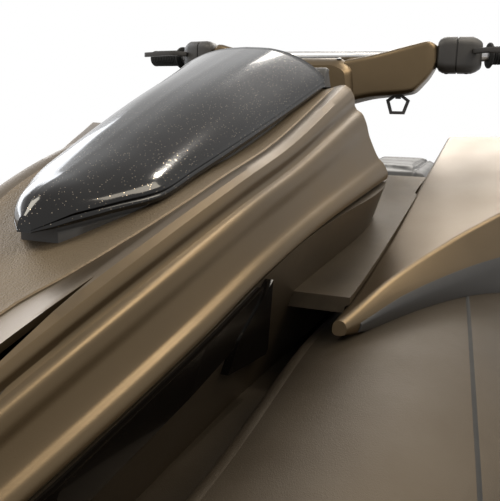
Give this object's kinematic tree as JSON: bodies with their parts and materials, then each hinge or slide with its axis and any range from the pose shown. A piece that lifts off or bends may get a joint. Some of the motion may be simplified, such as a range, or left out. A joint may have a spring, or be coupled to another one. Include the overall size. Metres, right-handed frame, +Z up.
{
  "type": "sit-down personal watercraft",
  "caption": "Sit-down personal watercraft with hinged bow hood, mirror pods, turning handlebar, lift-off seats, folding boarding step and a jet pump with steering nozzle and reverse bucket",
  "frame": {"origin": "amidships on the centreline at the waterline", "axes": "+X to port, +Y from bow to stern, +Z up"},
  "size_m": [1.2724, 3.58, 1.2294],
  "materials": {
    "hull_paint": "dark gelcoat, satin",
    "deck_matt": "grained dark moulding",
    "panel_grain": "sand-textured dark moulding",
    "bronze_matt": "matt dark bronze-grey paint",
    "gloss_black": "deep gloss black",
    "trim_black": "black moulded plastic",
    "bin_plastic": "textured black plastic",
    "display_gloss": "black display glass",
    "mirror_glass": "mirror",
    "rail_rubber": "black rubber",
    "grip_rubber": "ribbed rubber",
    "mat_foam": "grooved foam traction mat",
    "seat_vinyl": "stitched marine vinyl",
    "steel": "stainless steel",
    "cast_alloy": "anodised cast alloy",
    "impeller_steel": "polished stainless steel",
    "engine_metal": "painted casting"
  },
  "bodies": {
    "root": {"hull": "hull_paint", "foredeck": "deck_matt", "side_decks": "deck_matt", "seat_pedestal": "deck_matt", "rub_rail": "rail_rubber", "hood_hinge": "steel", "storage_bin": "bin_plastic", "console": "deck_matt", "display": "display_gloss", "steering_neck": "trim_black", "flank_trims": "gloss_black", "mirror_pods": "bronze_matt", "mirror_inserts": "trim_black", "mirror_glasses": "mirror_glass", "mirror_arms": "deck_matt", "grab_handle": "trim_black", "footwell_mats": "mat_foam", "platform_mat": "mat_foam", "step_brackets": "steel", "mooring_fittings": "steel", "sponsons": "trim_black", "pump_housing": "cast_alloy", "ride_plate": "cast_alloy", "intake_grate": "cast_alloy", "engine_block": "engine_metal", "fuel_cap": "trim_black", "drain_plugs": "trim_black"},
    "hood": {"hood": "bronze_matt", "hood_panel": "panel_grain", "hood_cowl": "gloss_black", "cowl_plinth": "trim_black"},
    "steering": {"steering_stem": "steel", "handlebar_cover": "bronze_matt", "handlebar": "steel", "switch_housings": "trim_black", "grips": "grip_rubber", "levers": "trim_black", "tilt_loop": "trim_black"},
    "glovebox": {"glovebox_lid": "deck_matt"},
    "front_seat": {"seat_front": "seat_vinyl"},
    "rear_seat": {"seat_rear": "seat_vinyl"},
    "step": {"boarding_step": "steel"},
    "impeller": {"impeller": "impeller_steel"},
    "nozzle": {"nozzle": "cast_alloy"},
    "bucket": {"reverse_bucket": "trim_black"}
  },
  "joints": [
    {"name": "steering_turn", "type": "hinge", "parent": "root", "child": "steering", "pos_m": [0, -0.47, 0.69], "axis": [0, 0.309, 0.9511], "range_deg": [-20, 20]},
    {"name": "nozzle_turn", "type": "hinge", "parent": "root", "child": "nozzle", "pos_m": [0, 1.574, -0.145], "axis": [0, 0, 1], "range_deg": [-20, 20]},
    {"name": "bucket_swing", "type": "hinge", "parent": "root", "child": "bucket", "pos_m": [0, 1.492, -0.145], "axis": [1, 0, 0], "range_deg": [-62, 0]},
    {"name": "impeller_spin", "type": "hinge", "parent": "root", "child": "impeller", "pos_m": [0, 1.285, -0.145], "axis": [0, 1, 0], "continuous": true},
    {"name": "hood_open", "type": "hinge", "parent": "root", "child": "hood", "pos_m": [0, -1.65, 0.448], "axis": [1, 0, 0], "range_deg": [0, 42]},
    {"name": "glovebox_open", "type": "hinge", "parent": "root", "child": "glovebox", "pos_m": [0, -0.41, 0.65286], "axis": [1, 0, 0], "range_deg": [0, 75]},
    {"name": "front_seat_lift", "type": "slide", "parent": "root", "child": "front_seat", "axis": [0, 0, 1], "range_m": [0, 0.32]},
    {"name": "rear_seat_lift", "type": "slide", "parent": "root", "child": "rear_seat", "axis": [0, 0, 1], "range_m": [0, 0.32]},
    {"name": "step_fold", "type": "hinge", "parent": "root", "child": "step", "pos_m": [0, 1.714, -0.11], "axis": [1, 0, 0], "range_deg": [-168, 0]}
  ],
  "couplings": [
    {"joint": "nozzle_turn", "follows": "steering_turn", "ratio": -1}
  ]
}
